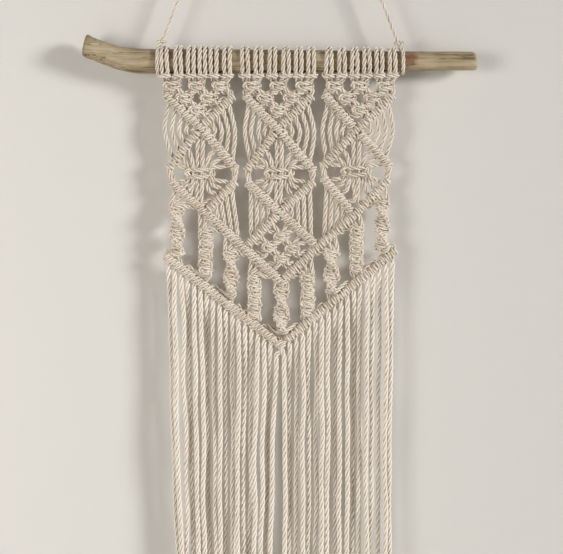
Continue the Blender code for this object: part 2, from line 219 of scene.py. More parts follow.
# hanging cord and its ties
TIE_X = 116.5
TIE_RADIUS = 1.85
TIE_KNOT_X = 112.9
TIE_KNOT_RISE = 8.0
TIE_GAP = 0.4  # between the cord and the branch
TIE_LEAN = 0.8
TIE_START = ((0, 0, 2), (1.2, 1.4, -2.4))  # outwards, back and height from the tie knot
TIE_BEHIND = (2.2, -2.4, -3.4)
TIE_TAIL = ((3.6, -3.0, -0.6), (5.6, -3.2, -2.0))
TIE_ARC = (335, 24, -24)  # degrees round the branch: from, to, step
TIE_TURN = 2.7  # radius of the turn round the cord, where it begins, and its rise for each point
TIE_TURN_START = -1.8
TIE_TURN_RISE = 0.3
TIE_TURN_POINTS = 8
NAIL_BEND = 8.0  # radius of the cord's bend over the nail, and the height of its middle
NAIL_MIDDLE = AXIS_DROP + HANGER_RADIUS - NAIL_BEND
NAIL_POINTS = 6
LEG_POINTS = 24
CORD_EVERY = 6  # every how many points of a fringe cord's line are kept in shown

# studio, in metres
WALL_BACK = 0.019
WALL_HALF = 4
WALL_TOP = 3
FLOOR_DROP = 0.96
FLOOR_HALF = 9

# ------------------------------------------------------------------ camera and studio

scene = bpy.context.scene
scene.view_settings.view_transform = "Standard"
camera = bpy.data.objects.new("camera", bpy.data.cameras.new("camera"))
scene.collection.objects.link(camera)
camera.data.sensor_width = 36
camera.data.lens = 79.9
camera.location = (0.0011, -1.2, -0.510)
camera.rotation_euler = (math.radians(90), 0, 0)
scene.camera = camera

# ------------------------------------------------------------------ paths

chance = random.Random(18)


def spot(place, back=0.0):
    """The point at a place (across, drop) on the panel."""
    return Vector((place[0], back, -place[1]))


def placed(point):
    """The point in the frame, in metres."""
    return (point + Vector((0, 0, -AXIS_DROP))) * MM


def between(a, b, part):
    return a + (b - a) * part


def branch_radius(x):
    return BRANCH_RADIUS - BRANCH_TAPER * x


def wander(size):
    """A small random shift."""
    return Vector([chance.uniform(-size, size) for _ in range(3)])


def hitch(path, at, along, pitch):
    """A double half hitch: the cord passes behind the bar and comes up over its front twice."""
    up = along.cross(Vector((0, 1, 0)))
    if up.z < 0:
        up = -up
    front = Vector((0, -1, 0))
    path.append(at + Vector((0, *HITCH_IN[1:])) + along * pitch * HITCH_IN[0])
    for i in range(int(WRAP_TURNS * WRAP_POINTS) + 1):
        turn = i / WRAP_POINTS
        angle = 2 * math.pi * turn
        shift = turn - 1 + WRAP_SLANT * math.sin(angle)
        shift = pitch * max(-WRAP_REACH, min(WRAP_REACH, shift))
        ring = up * -math.sin(angle) - front * math.cos(angle)
        path.append(at + along * shift + ring * WRAP + wander(HITCH_STRAY))
    path.append(at + Vector((0, *HITCH_OUT[1:])) + along * pitch * HITCH_OUT[0])


def half_knot(front_cord, back_cord, centre, side, half, depth, high, turn=0.0, lift=0.6):
    """One cord crosses in front of the fillers from a side, the other behind them."""
    across = Vector((math.cos(turn), math.sin(turn), 0))
    front = Vector((math.sin(turn), -math.cos(turn), 0))
    for path, way in ((front_cord, 1), (back_cord, -1)):
        # shares of the half width, of the depth and of the height
        for out, forward, drop in (
            (0.85, -lift, -0.46), (0.66, 0.4, -0.14), (0.0, 1.0, 0.0),
            (-0.58, 0.2, -0.12), (-0.86, -0.75, 0.06), (-1.0, -lift, 0.42),
        ):
            path.append(
                centre + across * (side * way * out * half) + front * (way * forward * depth)
                - Vector((0, 0, drop * high)) + wander(KNOT_STRAY)
            )


def through(path, centre, across, length, back=0.0):
    """A filler runs straight down inside a knot."""
    for part in (-0.5, 0.5):
        path.append(centre + Vector((across, back, -part * length)))


def square_knot(cords, four, place, half=KNOT_HALF, high=HEAD_HALF_KNOT):
    """Two half knots, one from each side, round two fillers."""
    centre = spot(place)
    first, second, third, last = (cords[n] for n in four)
    for step, side in ((-0.5, -1), (0.5, 1)):
        height = Vector((0, 0, step * high))
        half_knot(first, last, centre - height, side, half, KNOT_FRONT, high)
    through(second, centre, -FILLER_SPACE, high * 2)
    through(third, centre, FILLER_SPACE, high * 2)


def star_knot(cords, numbers, place):
    """A wide square knot in the middle of a diamond, with its fillers fanned out at both ends."""
    centre = spot(place)
    first, last = cords[numbers[0]], cords[numbers[-1]]
    across, height = STAR_CORNER
    for path, side in ((first, -1), (last, 1)):
        path.append(spot((place[0] + side * across, place[1] - height)))
    for step, side in ((-0.5, -1), (0.5, 1)):
        below = Vector((0, 0, step * STAR_HALF_KNOT))
        half_knot(first, last, centre - below, side, STAR_HALF, STAR_FRONT, STAR_HALF_KNOT)
    for path, side in ((first, -1), (last, 1)):
        path.append(spot((place[0] + side * across, place[1] + height)))
    fillers = numbers[1:-1]
    for i, number in enumerate(fillers):
        off = i - (len(fillers) - 1) / 2
        fan, height = STAR_FAN[int(abs(off))]
        fan = math.copysign(fan, off)
        back = STAR_FILLER_BACK if i % 2 == 0 else -STAR_FILLER_BACK
        cords[number].append(centre + Vector((fan, 0, height)) + wander(STRAND_STRAY))
        through(cords[number], centre, STAR_FILLERS * off, STAR_FILLER_RUN, back)
        cords[number].append(centre + Vector((fan, 0, -height)) + wander(STRAND_STRAY))


def bar(cords, filler, hitchers, start, end, lead=False, tail=False):
    """A straight run of a bar. lead and tail leave room for half a hitch at the crossings."""
    a, b = spot(start), spot(end)
    units = len(hitchers) + 0.5 * lead + 0.5 * tail
    along = (b - a).normalized()
    pitch = (b - a).length / units / 2
    for i, number in enumerate(hitchers):
        part = (i + 0.5 + 0.5 * lead) / units
        hitch(cords[number], between(a, b, part), along, pitch)
        cords[filler].append(between(a, b, part))
    cords[filler].append(between(a, b, FILLER_END))
    return along, pitch


def bulge(path, reach, side):
    """A free cord bows outwards between two bars, most where they are close together."""
    span = (path[-1] - reach).length
    least, nearness, soften, share = BOW
    out = side * (least + nearness / (span + soften) + share * span) + wander(STRAND_STRAY).x
    depth = wander(STRAND_DEPTH_STRAY).y
    path.append(between(path[-1], reach, BOW_AT) + Vector((out, depth, 0)))


def lark_head(left, right, x):
    """Both cords of one rope, from the middle of the loop in front, round the branch and down."""
    radius = branch_radius(x) - LARK_SINK + ROPE_RADIUS
    first, end, step = LARK_ARC
    for path, side in ((left, -1), (right, 1)):
        lean = wander(LARK_STRAY).x
        for across, back, height in LARK_LOOP:
            path.append(Vector((x + side * across, back, -LARK_BAR_DROP + height)))
        across, back, under = LARK_TURN
        path.append(Vector((x + side * across, back, -radius - under)))
        for degrees in range(first, end, step):
            angle = math.radians(degrees)
            part = (degrees - first) / (end - first)
            wide = LARK_UNDER + (LARK_TOP - LARK_UNDER) * min(part * LARK_CLOSING, 1)
            opened = max(0.0, part - LARK_OPENING) / (1 - LARK_OPENING)
            wide += (LARK_LEG - LARK_TOP) * opened
            path.append(Vector((
                x + side * wide + lean * math.sin(part * math.pi),
                -radius * math.sin(angle), radius * math.cos(angle),
            )))
        across, back, under = LARK_END
        path.append(Vector((x + side * across, back, -LARK_BAR_DROP - under)))


def diamond(cords, base, corners, over):
    """The upper bars of one panel's diamond, its star knot, and the free cords beside it.

    over says whether the falling or the rising bar stays on top at the crossing.
    """
    left, right, cross, upper_left, upper_right, _, _, star = corners
    first, last = base + 1, base + PANEL_CORDS
    near, far = list(range(first + 1, first + 6)), list(range(first + 6, last))
    along_left, _ = bar(cords, first, near, left, cross, tail=True)
    along_right, pitch = bar(cords, last, far[::-1], right, cross, tail=True)
    if over == "falling":
        hitch(cords[last], spot(cross), along_left, pitch)
    else:
        hitch(cords[first], spot(cross), along_right, pitch)
    middle = Vector(cross)
    for place, (nearer, further) in enumerate(zip(near[::-1], far), 1):
        part = place / (len(near) + 0.5)
        bulge(cords[nearer], spot(between(middle, Vector(upper_left), part)), -1)
        bulge(cords[further], spot(between(middle, Vector(upper_right), part)), 1)
    bar(cords, first, far, cross, upper_right, lead=True)
    bar(cords, last, near[::-1], cross, upper_left, lead=True)
    across, drop, back = CROSS_EXIT
    for number, side in ((near[-1], -1), (far[0], 1)):
        cords[number][-1] = spot((cross[0] + side * across, cross[1] + drop), back)
    star_knot(cords, near[1:] + far[:-1], star)


def sennit(cords, four, number):
    """A short column of half knots, all one way round so that it twists, or by turns and flat."""
    x, top, bottom, twisted = SENNITS[number]
    first, second, third, last = (cords[n] for n in four)
    count = round((bottom - top) / HALF_KNOT)
    high = (bottom - top) / count
    turn_each = SENNIT_TURN if twisted else 0.0
    left, right = first, last
    for i in range(count):
        centre = spot((x, top + (i + 0.5) * high))
        if twisted:
            turn = turn_each * i
            half_knot(left, right, centre, -1, SENNIT_HALF, SENNIT_FRONT, high, turn, lift=0.0)
            left, right = right, left
        else:
            side = -1 if i % 2 == 0 else 1
            centre = centre + wander(SENNIT_STRAY)
            half = FLAT_HALF + wander(STRAND_STRAY).x
            half_knot(first, last, centre, side, half, SENNIT_FRONT, high)
    for i in range(count + 1):
        centre = spot((x, top + i * high))
        turn = turn_each * i
        across = Vector((math.cos(turn), math.sin(turn), 0)) * FILLER_SPACE
        second.append(centre - across)
        third.append(centre + across)


def v_positions():
    """The cords in their order along the upper V, from left to right."""
    left = [2, 3, 4, 5, 6, 1, 7, 8, 9, 10, 11, 13, 14, 15, 16, 17, 18]
    return left + [25, 12] + [FRINGE_CORDS + 1 - n for n in reversed(left)]


def upper_panel(cords, panel):
    """One panel's lark's heads, its triangle of square knots, and its diamond's upper half."""
    row = LARKS[panel]
    base = panel * PANEL_CORDS
    for i, x in enumerate(row):
        lark_head(cords[base + 2 * i + 1], cords[base + 2 * i + 2], x)
    middle = [(row[2 * i] + row[2 * i + 1]) / 2 for i in range(3)]
    for i in range(3):
        four = range(base + 4 * i + 1, base + 4 * i + 5)
        square_knot(cords, four, (middle[i], HEAD_ROWS[0]))
    for i in range(2):
        four = range(base + 4 * i + 3, base + 4 * i + 7)
        x = (middle[i] + middle[i + 1]) / 2
        square_knot(cords, four, (x, HEAD_ROWS[1]))
    square_knot(cords, range(base + 5, base + 9), (middle[1], HEAD_ROWS[2]))
    diamond(cords, base, DIAMONDS[panel], "rising" if panel == 2 else "falling")


def lower_diamonds(cords):
    """The lower bars of the three diamonds, and the knots between the middle panel's bars."""
    lower_left = [corners[5] for corners in DIAMONDS]
    lower_right = [corners[6] for corners in DIAMONDS]

    # left panel: its left bar runs on as the upper V, and its right bar ends on it
    bar(cords, 1, [11, 10, 9, 8, 7], lower_right[0], FEET[0], tail=True)
    along, pitch = bar(cords, 12, [2, 3, 4, 5, 6], lower_left[0], FEET[0], tail=True)
    hitch(cords[1], spot(FEET[0]), along, pitch)

    # right panel, the other way round
    bar(cords, 36, [26, 27, 28, 29, 30], lower_left[2], FEET[2], tail=True)
    along, pitch = bar(cords, 25, [35, 34, 33, 32, 31], lower_right[2], FEET[2], tail=True)
    hitch(cords[36], spot(FEET[2]), along, pitch)

    # middle panel: both bars cross at the foot and run on to the upper V
    bar(cords, 13, [23, 22, 21, 20, 19], lower_right[1], FEET[1], tail=True)
    along, pitch = bar(cords, 24, [14, 15, 16, 17, 18], lower_left[1], FEET[1], tail=True)
    hitch(cords[13], spot(FEET[1]), along, pitch)
    bar(cords, 24, [19, 20, 21, 22, 23], FEET[1], MEETS[1], lead=True, tail=True)
    bar(cords, 13, [18, 17, 16, 15, 14], FEET[1], MEETS[0], lead=True, tail=True)
    for four, place in CENTRE_KNOTS:
        square_knot(cords, four, place, half=CENTRE_KNOT_HALF, high=CENTRE_HALF_KNOT)


def upper_v(cords):
    """The long bars that join the three panels."""
    along, pitch = bar(cords, 12, [7, 8, 9, 10, 11], FEET[0], MEETS[0], lead=True, tail=True)
    hitch(cords[13], spot(MEETS[0]), along, pitch)
    along, pitch = bar(cords, 25, [30, 29, 28, 27, 26], FEET[2], MEETS[1], lead=True, tail=True)
    hitch(cords[24], spot(MEETS[1]), along, pitch)
    bar(cords, 25, [23, 22, 21, 20, 19], MEETS[1], V_FOOT, lead=True, tail=True)
    along, pitch = bar(cords, 12, [14, 15, 16, 17, 18], MEETS[0], V_FOOT, lead=True, tail=True)
    hitch(cords[25], spot(V_FOOT), along, pitch)


def lower_v(cords, order):
    """The bar that the fringe hangs from: for each fringe cord, its cord's number and its start."""
    starts = {}
    half = FRINGE_CORDS // 2
    foot = spot(LOWER_FOOT)
    outer = (order[0], order[-1])
    inner = (order[1:half], order[half:-1][::-1])
    alongs = []
    for side, sign in enumerate((-1, 1)):
        filler = cords[outer[side]]
        start = spot(LOWER_STARTS[side])
        along = (foot - start).normalized()
        filler.append(start)
        for i, number in enumerate(inner[side]):
            x = sign * FRINGE_PITCH * (half - 0.5 - i)
            at = between(start, foot, (x - start.x) / (foot.x - start.x))
            hitch(cords[number], at, along, FRINGE_HITCH)
            filler.append(at)
            fringe = i + 1 if side == 0 else FRINGE_CORDS - i
            starts[fringe] = (number, at)
        filler.append(between(start, foot, LOWER_FILLER_END))
        alongs.append(along)
    hitch(cords[outer[1]], foot, alongs[0], FRINGE_HITCH)
    starts[half] = (outer[1], foot)
    starts[half + 1] = (outer[0], foot)
    return starts


def knot_panel():
    """The path of each of the thirty-six cords, and where each fringe cord begins on it."""
    cords = {n: [] for n in range(1, FRINGE_CORDS + 1)}
    for panel in range(len(LARKS)):
        upper_panel(cords, panel)
    lower_diamonds(cords)
    upper_v(cords)
    order = v_positions()
    for i in range(len(SENNITS)):
        sennit(cords, order[4 * i:4 * i + 4], i)
    return cords, lower_v(cords, order)


def smooth(points, step=SMOOTH_STEP):
    """A centripetal spline through points, sampled about every step."""
    kept = [points[0]]
    for point in points[1:]:
        if (point - kept[-1]).length > SMOOTH_LEAST:
            kept.append(point)
    ends = [kept[0] * 2 - kept[1]] + kept + [kept[-1] * 2 - kept[-2]]
    made = []
    for p0, p1, p2, p3 in zip(ends, ends[1:], ends[2:], ends[3:]):
        t1 = (p1 - p0).length ** 0.5
        t2 = t1 + (p2 - p1).length ** 0.5
        t3 = t2 + (p3 - p2).length ** 0.5
        count = max(1, round((p2 - p1).length / step))
        for i in range(count):
            t = t1 + (t2 - t1) * i / count
            a1 = p0 * ((t1 - t) / t1) + p1 * (t / t1)
            a2 = p1 * ((t2 - t) / (t2 - t1)) + p2 * ((t - t1) / (t2 - t1))
            a3 = p2 * ((t3 - t) / (t3 - t2)) + p3 * ((t - t2) / (t3 - t2))
            b1 = a1 * ((t2 - t) / t2) + a2 * (t / t2)
            b2 = a2 * ((t3 - t) / (t3 - t1)) + a3 * ((t - t1) / (t3 - t1))
            made.append(b1 * ((t2 - t) / (t2 - t1)) + b2 * ((t - t1) / (t2 - t1)))
    made.append(kept[-1])
    return made


def fringe_line(number):
    """How far across a fringe cord leaves the lower bar, and how far across it hangs below."""
    half = FRINGE_CORDS // 2
    side = 0 if number <= half else 1
    step = half - number if side == 0 else number - half - 1
    sign = (-1, 1)[side]
    start = sign * FRINGE_PITCH * (step + 0.5)
    hang = HANG_EDGE[side] + sign * HANG_PITCH[side] * step
    return start, hang


def fringe_points(number, at):
    """The free points of a fringe cord below the bar, where it settles among its neighbours."""
    start, hang = fringe_line(number)
    pivot = -at.z
    made = []
    aside = HANG_SWAY * math.sin(number * SWAY_PHASE)
    behind = HANG_BACK + HANG_DEPTH * math.sin(number * DEPTH_PHASE + DEPTH_FIRST_PHASE)
    drop = pivot + FRINGE_START
    while drop < pivot + FRINGE_LENGTH - FRINGE_SPARE:
        part = min((drop - pivot) / (HANG_DROP - pivot), 1)
        settled = min((drop - pivot) / HANG_SETTLE, 1)
        settled = settled * settled * (3 - 2 * settled)
        seed = Vector((number * WAVE_SEED, 0, drop * WAVE_RATE))
        sway = noise.noise(seed) * min((drop - pivot) / WAVE[1], 1) * WAVE[0]
        depth = noise.noise(seed + Vector((0, DEPTH_SEED, 0)))
        depth *= min((drop - pivot) / DEPTH_WAVE[1], 1) * DEPTH_WAVE[0]
        x = start + (hang - start) * part + aside * settled + sway
        made.append(Vector((x, behind * settled + depth, -drop)))
        drop += FRINGE_STEP
    return made


# ------------------------------------------------------------------ rope tree


def rope_tree():
    """Turns a line of edges into a laid rope of three strands."""
    tree = bpy.data.node_groups.new("laid rope", "GeometryNodeTree")
    face = tree.interface
    face.new_socket("Line", in_out="INPUT", socket_type="NodeSocketGeometry")
    for name in ("Rope Radius", "Lay", "Ring Spacing"):
        face.new_socket(name, in_out="INPUT", socket_type="NodeSocketFloat")
    face.new_socket("Strand Sides", in_out="INPUT", socket_type="NodeSocketInt")
    face.new_socket("Finish", in_out="INPUT", socket_type="NodeSocketMaterial")
    face.new_socket("Rope", in_out="OUTPUT", socket_type="NodeSocketGeometry")

    def node(kind, sockets=(), **settings):
        made = tree.nodes.new(kind)
        for name, value in settings.items():
            setattr(made, name, value)
        for key, value in dict(sockets).items():
            if isinstance(value, bpy.types.NodeSocket):
                tree.links.new(value, made.inputs[key])
            else:
                made.inputs[key].default_value = value
        return made

    def maths(operation, a, b):
        return node("ShaderNodeMath", {0: a, 1: b}, operation=operation).outputs[0]

    given = node("NodeGroupInput").outputs
    curve = node("GeometryNodeMeshToCurve", {"Mesh": given["Line"]}).outputs[0]
    spaced = {"Curve": curve, "Length": given["Ring Spacing"]}
    curve = node("GeometryNodeResampleCurve", spaced, mode="LENGTH").outputs[0]
    along = node("GeometryNodeInputNamedAttribute", {"Name": "along"}, data_type="FLOAT")
    turns = maths("DIVIDE", along.outputs["Attribute"], given["Lay"])
    tilt = maths("MULTIPLY", turns, 2 * math.pi)
    curve = node("GeometryNodeSetCurveTilt", {"Curve": curve, "Tilt": tilt}).outputs[0]

    # three strands, each a ring whose first point faces the middle of the rope
    third = node("GeometryNodeCurvePrimitiveCircle", {"Resolution": 3})
    tree.links.new(maths("MULTIPLY", given["Rope Radius"], STRAND_OUT), third.inputs["Radius"])
    strand = node("GeometryNodeCurvePrimitiveCircle", {"Resolution": given["Strand Sides"]})
    tree.links.new(maths("MULTIPLY", given["Rope Radius"], STRAND_SHARE), strand.inputs["Radius"])
    place = node("GeometryNodeInputPosition").outputs[0]
    unit = node("ShaderNodeVectorMath", {0: place}, operation="NORMALIZE").outputs[0]
    kept = node(
        "GeometryNodeStoreNamedAttribute",
        {"Geometry": strand.outputs[0], "Name": "round"},
        data_type="FLOAT_VECTOR", domain="POINT",
    )
    tree.links.new(unit, kept.inputs["Value"])
    angle = maths("MULTIPLY", node("GeometryNodeInputIndex").outputs[0], 2 * math.pi / 3)
    angle = maths("ADD", angle, math.pi)
    turned = node("ShaderNodeCombineXYZ", {"Z": angle}).outputs[0]
    profile = node(
        "GeometryNodeInstanceOnPoints",
        {"Points": third.outputs[0], "Instance": kept.outputs[0], "Rotation": turned},
    )
    profile = node("GeometryNodeRealizeInstances", {0: profile.outputs[0]}).outputs[0]
    swept = node(
        "GeometryNodeCurveToMesh",
        {"Curve": curve, "Profile Curve": profile, "Fill Caps": True},
    )
    soft = node("GeometryNodeSetShadeSmooth", {0: swept.outputs[0]}).outputs[0]
    whole = node("GeometryNodeRealizeInstances", {0: soft}).outputs[0]
    done = node("GeometryNodeSetMaterial", {0: whole, "Material": given["Finish"]}).outputs[0]
    tree.links.new(done, node("NodeGroupOutput").inputs[0])
    return tree


ROPE_TREE = rope_tree()


def lay_rope(name, points, start, radius, finish):
    """A mesh of laid rope along points, with start as the length already run at the first."""
    along = [start]
    for a, b in zip(points, points[1:]):
        along.append(along[-1] + (b - a).length)
    edges = [(i, i + 1) for i in range(len(points) - 1)]
    data = bpy.data.meshes.new(name + "_line")
    data.from_pydata([placed(point) for point in points], edges, [])
    attribute = data.attributes.new("along", "FLOAT", "POINT")
    attribute.data.foreach_set("value", [run * MM for run in along])
    line = bpy.data.objects.new(name + "_line", data)
    scene.collection.objects.link(line)
    modifier = line.modifiers.new("laid rope", "NODES")
    modifier.node_group = ROPE_TREE
    values = {
        "Rope Radius": radius * MM, "Lay": LAY * MM, "Ring Spacing": RING_SPACING * MM,
        "Strand Sides": STRAND_SIDES, "Finish": finish,
    }
    for item in ROPE_TREE.interface.items_tree:
        if item.name in values:
            modifier[item.identifier] = values[item.name]
    graph = bpy.context.evaluated_depsgraph_get()
    mesh = bpy.data.meshes.new_from_object(line.evaluated_get(graph), depsgraph=graph)
    mesh.name = name
    line.modifiers.remove(modifier)
    bpy.data.objects.remove(line)
    made = bpy.data.objects.new(name, mesh)
    scene.collection.objects.link(made)
    return made


# ------------------------------------------------------------------ finishes


class Value:
    """A shader value that can be written in a sum."""

    def __init__(self, finish, socket):
        self.finish = finish
        self.socket = socket

    def maths(self, operation, *values):
        return self.finish.node("Math", dict(enumerate(values)), operation=operation)

    def __add__(self, other):
        return self.maths("ADD", self, other)

    def __sub__(self, other):
        return self.maths("SUBTRACT", self, other)

    def __rsub__(self, other):
        return self.maths("SUBTRACT", other, self)

    def __mul__(self, other):
        return self.maths("MULTIPLY", self, other)

    __radd__ = __add__
    __rmul__ = __mul__


class Finish:
    """A material and the nodes that vary it."""

    def __init__(self, name):
        self.material = bpy.data.materials.new(name)
        self.material.use_nodes = True
        self.tree = self.material.node_tree
        self.shader = self.tree.nodes["Principled BSDF"]

    def node(self, kind, sockets=(), out=0, stops=None, **settings):
        made = self.tree.nodes.new("ShaderNode" + kind)
        for name, value in settings.items():
            setattr(made, name, value)
        if stops:
            ramp = made.color_ramp.elements
            while len(ramp) < len(stops):
                ramp.new(0.5)
            for element, (position, colour) in zip(ramp, stops):
                element.position = position
                element.color = (*colour, 1)
        for key, value in dict(sockets).items():
            self.put(made.inputs[key], value)
        return Value(self, made.outputs[out])

    def put(self, socket, value):
        if isinstance(value, Value):
            self.tree.links.new(value.socket, socket)
        else:
            socket.default_value = value

    def set(self, **sockets):
        for name, value in sockets.items():
            self.put(self.shader.inputs[name.replace("_", " ")], value)


def cotton_finish(name, painted_light_lift=0.0):
    """Undyed cotton: matt, with fibres that run along each strand and a few darker flecks, painted
    shade in the grooves between the strands, and an amount of painted light that makes the whole
    colour paler.
    """
    made = Finish(name)
    around = made.node("Attribute", attribute_name="round", out="Vector")
    along = made.node("Attribute", attribute_name="along", out="Fac")
    lift = made.node("CombineXYZ", {"Z": along * 260.0})
    place = made.node("VectorMath", {0: around, 1: (2.6, 2.6, 2.6)}, operation="MULTIPLY")
    place = made.node("VectorMath", {0: place, 1: lift}, operation="ADD")
    fibres = made.node("TexNoise", {"Vector": place, "Scale": 2.2, "Detail": 4.0, "Roughness": 0.6})
    body = made.node("TexCoord", out="Object")
    cloudy = made.node("TexNoise", {"Vector": body, "Scale": 70.0, "Detail": 2.0})
    # painted shade: the side of each strand that faces the middle of the rope is darkened, in place
    # of the shade that falls in the grooves between strands
    inward = made.node("SeparateXYZ", {"Vector": around}, out="X")
    painted_groove_shade = made.node("MapRange", {"Value": inward, "From Min": -0.35, "From Max": 0.6})
    # the extra amount makes the whole colour paler: painted light
    shade = fibres * 0.55 + cloudy * 0.35 - painted_groove_shade * 0.24 + (0.05 + painted_light_lift)
    colour = made.node(
        "ValToRGB", {"Fac": shade},
        stops=(
            (0.10, (0.31, 0.235, 0.165)), (0.42, (0.71, 0.625, 0.515)),
            (0.66, (0.88, 0.82, 0.745)),
        ),
    )
    bump = made.node("Bump", {"Height": fibres, "Strength": 0.55, "Distance": 0.0004})
    made.set(Base_Color=colour, Roughness=0.88, Normal=bump, Metallic=0.0)
    made.shader.inputs["Sheen Weight"].default_value = 0.25
    made.shader.inputs["Sheen Roughness"].default_value = 0.5
    return made.material


def wood_finish():
    """Bare weathered wood: pale, with long grain and cracks and one reddish side knot."""
    made = Finish("bare_wood")
    place = made.node("TexCoord", out="Object")
    drawn = made.node("Mapping", {"Vector": place, "Scale": (13.0, 360.0, 360.0)})
    grain = made.node("TexNoise", {"Vector": drawn, "Scale": 1.0, "Detail": 7.0, "Roughness": 0.65})
    patches = made.node("TexNoise", {"Vector": place, "Scale": 30.0, "Detail": 3.0})
    wavy = made.node("Mapping", {"Vector": place, "Scale": (9.0, 130.0, 130.0)})
    lines = made.node("TexNoise", {"Vector": wavy, "Scale": 1.0, "Detail": 3.0, "Roughness": 0.55})
    off_line = made.node("Math", {0: lines - 0.5}, operation="ABSOLUTE")
    crack = made.node("MapRange", {"Value": off_line, "From Min": 0.022, "From Max": 0.004})
    shade = grain * 0.68 + patches * 0.32 - crack * 0.15
    colour = made.node(
        "ValToRGB", {"Fac": shade},
        stops=(
            (0.27, (0.09, 0.06, 0.03)), (0.40, (0.255, 0.19, 0.107)),
            (0.52, (0.39, 0.312, 0.196)), (0.68, (0.54, 0.46, 0.325)),
        ),
    )
    from_knot = made.node(
        "VectorMath", {0: place, 1: placed(SIDE_KNOT)}, operation="DISTANCE", out="Value"
    )
    uneven = from_knot + patches * 0.006 + (lines - 0.5) * 0.034
    mask = made.node("MapRange", {"Value": uneven, "From Min": 0.0135, "From Max": 0.0035})
    red = made.node("Mix", {0: mask, 6: colour, 7: (0.19, 0.088, 0.04, 1)}, data_type="RGBA", out=2)
    bump = made.node("Bump", {"Height": shade, "Strength": 0.75, "Distance": 0.0016})
    made.set(Base_Color=red, Roughness=0.72, Normal=bump, Metallic=0.0)
    return made.material


COTTON = cotton_finish("undyed_cotton")
# the fringe's copy of the same cotton is made paler: painted light, in place of the brighter light
# that falls on the fringe below the knots
FRINGE_PAINTED_LIGHT_COTTON = cotton_finish("undyed_cotton_painted_lighter", 0.15)
WOOD = wood_finish()

# ------------------------------------------------------------------ branch


def branch_centre(x):
    """Centre height and share of its radius along the branch, with the crook at its left end."""
    part = max(0.0, (CROOK_START - x) / (CROOK_START + BRANCH_HALF))
    return CROOK_RISE * part ** CROOK_BEND, 1 - CROOK_THINNING * part


def bark(x, ring):
    """How rough the wood is at a place round the branch."""
    rough = 0.0
    for size, along, around, seed in BARK:
        place = Vector((x * along, ring.y * around + seed, ring.z * around))
        rough += size * noise.noise(place)
    return rough * BARK_ROUGH


def branch_point(x, ring):
    """The point on the bare wood at x, in the direction ring from the axis."""
    rise, share = branch_centre(x)
    rounded = 1 - min(BRANCH_HALF - abs(x), END_ROUND) / END_ROUND
    radius = branch_radius(x) * share - BARK_IN + bark(x, ring) - rounded * END_IN
    from_knot = (Vector((x, 0, 0)) + ring * radius - SIDE_KNOT).length
    swell = math.exp(-(from_knot / SIDE_KNOT_RADIUS) ** 2) * SIDE_KNOT_RISE
    end = max(0.0, abs(x) / BRANCH_HALF - 1 + END_SLANT_SHARE) / END_SLANT_SHARE
    slant = END_SLANTS[1 if x > 0 else 0] * ring.z * radius * end
    across = ring * radius + ring * swell
    return Vector((x - slant, across.y, across.z + rise))


def branch_piece():
    """The branch: rings of bare wood, closed at both saw cuts."""
    vertices, faces = [], []
    for i in range(BRANCH_RINGS + 1):
        x = -BRANCH_HALF + 2 * BRANCH_HALF * i / BRANCH_RINGS
        for j in range(BRANCH_SIDES):
            angle = 2 * math.pi * j / BRANCH_SIDES
            vertices.append(branch_point(x, Vector((0, math.sin(angle), math.cos(angle)))))

    def side_of_ring(i, j):
        return i * BRANCH_SIDES + j, i * BRANCH_SIDES + (j + 1) % BRANCH_SIDES

    for i in range(BRANCH_RINGS):
        for j in range(BRANCH_SIDES):
            a, b = side_of_ring(i, j)
            faces.append((a, a + BRANCH_SIDES, b + BRANCH_SIDES, b))
    for i in (0, BRANCH_RINGS):
        ring = vertices[i * BRANCH_SIDES:(i + 1) * BRANCH_SIDES]
        middle = len(vertices)
        vertices.append(sum(ring, Vector((0, 0, 0))) / BRANCH_SIDES)
        for j in range(BRANCH_SIDES):
            a, b = side_of_ring(i, j)
            faces.append((b, a, middle) if i else (a, b, middle))
    data = bpy.data.meshes.new("bare_branch")
    data.from_pydata([placed(vertex) for vertex in vertices], [], faces)
    data.materials.append(WOOD)
    data.polygons.foreach_set("use_smooth", [len(face.vertices) == 4 for face in data.polygons])
    made = bpy.data.objects.new("bare_branch", data)
    scene.collection.objects.link(made)
    return made


# ------------------------------------------------------------------ ropes and fringe


def length_of(points):
    return sum((b - a).length for a, b in zip(points, points[1:]))


def nearest(points, place):
    return min(range(len(points)), key=lambda i: (points[i] - place).length)


def split_cords():
    """Each cord's line on the panel, and each fringe cord's line with its length so far."""
    cords, starts = knot_panel()
    panel_lines, fringe_lines = {}, {}
    for fringe, (number, at) in starts.items():
        path = cords[number]
        knotted = len(path)
        path = path + fringe_points(fringe, at)
        line = smooth(path)
        # the panel's part ends behind the bar, where the fringe cord begins
        cut = nearest(line, path[knotted - POINTS_PAST_BAR])
        panel_lines[number] = line[:cut + 1]
        fringe_lines[fringe] = (line[cut:], length_of(line[:cut + 1]), at)
    return panel_lines, fringe_lines


# each rope of the panel, with the nodes whose place it takes
PANEL_NODES = {
    1: ("heading_left",), 2: ("lattice_left",), 3: ("star_knot_left",), 4: ("sennit_1",),
    5: ("sennit_2",), 6: ("sennit_3",), 7: ("heading_middle",), 8: ("lattice_middle",),
    9: ("star_knot_middle", "centre_knots"), 10: ("sennit_4", "sennit_5"), 11: ("lower_band",),
    12: ("sennit_6",), 13: ("heading_right",), 14: ("lattice_right",), 15: ("star_knot_right",),
    16: ("sennit_7",), 17: ("sennit_8",), 18: ("sennit_9",),
}

panel_lines, fringe_lines = split_cords()
for rope, nodes in PANEL_NODES.items():
    left, right = panel_lines[2 * rope - 1], panel_lines[2 * rope]
    whole = left[::-1] + right[1:]
    piece = lay_rope(f"rope_{rope:02d}", whole, -length_of(left), DRAWN_RADIUS, COTTON)
    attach(piece, "panel")
    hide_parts(*nodes)

